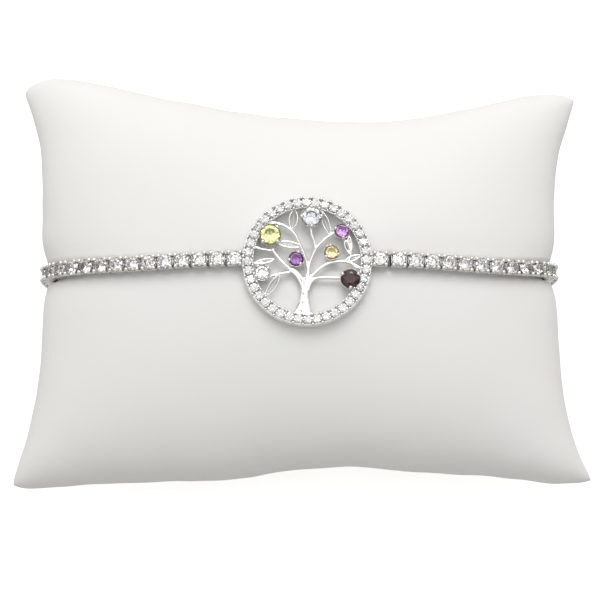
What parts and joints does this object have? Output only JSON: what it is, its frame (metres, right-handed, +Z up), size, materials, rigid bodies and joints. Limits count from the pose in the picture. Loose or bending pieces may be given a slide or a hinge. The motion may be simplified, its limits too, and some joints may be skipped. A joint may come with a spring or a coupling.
{
  "type": "tree of life bracelet on a display pillow",
  "caption": "Silver tennis bracelet with a round openwork tree medallion set with coloured stones, fastened round a white leatherette display pillow that lies on its back.",
  "frame": {"origin": "middle of the whole model's box in X and Y, on the surface that the pillow lies on", "axes": "+Z up out of the pillow's face and the medallion, +Y towards the tree's crown, +X to the right along the bracelet"},
  "size_m": [0.0827, 0.0601, 0.0309],
  "materials": {
    "white_leatherette": "white smooth leatherette, fine grain, soft satin sheen",
    "polished_silver": "rhodium-plated sterling silver, polished, fine handling scratches",
    "clear_stone": "clear round brilliant cut stones",
    "peridot_green": "faceted yellow-green stone",
    "topaz_blue": "faceted pale blue stone",
    "amethyst_violet": "faceted violet stone",
    "citrine_yellow": "faceted golden yellow stone",
    "garnet_red": "faceted very dark red stone"
  },
  "bodies": {
    "root": {"display_pillow": "white_leatherette", "tree_medallion": "polished_silver", "pave_band": "clear_stone", "peridot": "peridot_green", "blue_topaz": "topaz_blue", "amethyst_upper": "amethyst_violet", "amethyst_inner": "amethyst_violet", "citrine": "citrine_yellow", "garnet": "garnet_red", "white_stone": "clear_stone", "chain_left": "polished_silver", "chain_right": "polished_silver", "box_clasp": "polished_silver"}
  },
  "joints": []
}
